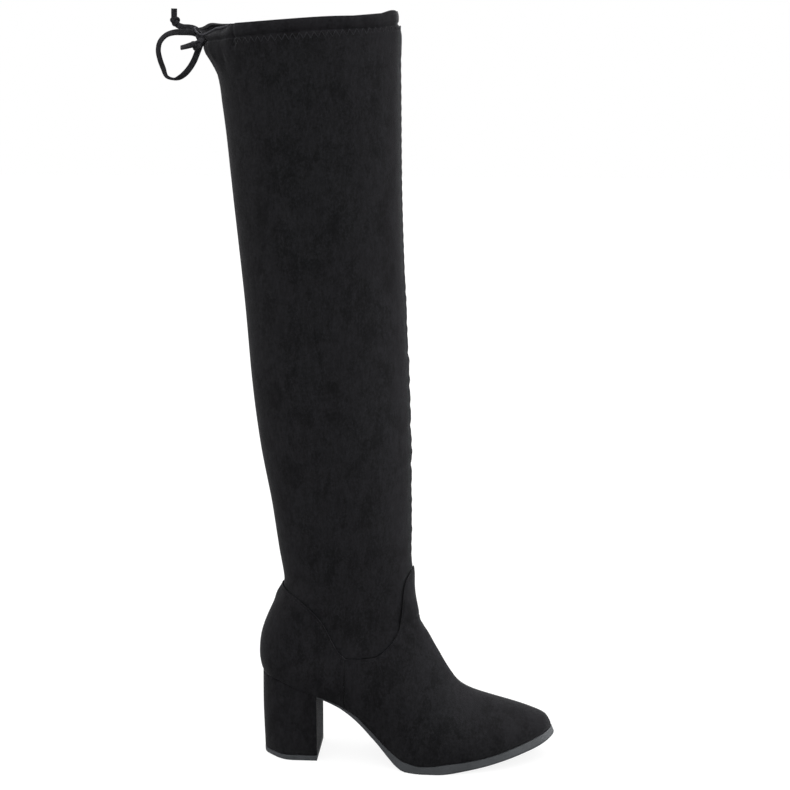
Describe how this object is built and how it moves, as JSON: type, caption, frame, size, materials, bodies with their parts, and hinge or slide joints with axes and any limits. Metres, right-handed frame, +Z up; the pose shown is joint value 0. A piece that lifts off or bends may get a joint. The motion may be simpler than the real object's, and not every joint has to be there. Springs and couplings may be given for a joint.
{
  "type": "high-heeled boot",
  "caption": "Over-the-knee suede boot for the right foot with a covered block heel, overlaid vamp and counter, and a drawstring tied at the back of the collar.",
  "frame": {"origin": "on the floor under the middle of the box round the boot without its drawstring", "axes": "+X from the heel to the toe, +Y to the inner side of the foot, +Z up"},
  "size_m": [0.3257, 0.108, 0.6243],
  "materials": {
    "suede": "black napped stretch suede",
    "suede_cord": "black suede strip",
    "insole_board": "black textile over board",
    "sole_rubber": "matt dark grey",
    "lift_rubber": "matt dark grey"
  },
  "bodies": {
    "root": {"upper": "suede", "vamp": "suede", "counter": "suede", "heel": "suede", "insole": "insole_board", "outsole": "sole_rubber", "heel_lift": "lift_rubber", "drawstring_knot": "suede_cord", "drawstring_loop": "suede_cord", "drawstring_upper_end": "suede_cord", "drawstring_lower_end": "suede_cord"}
  },
  "joints": []
}
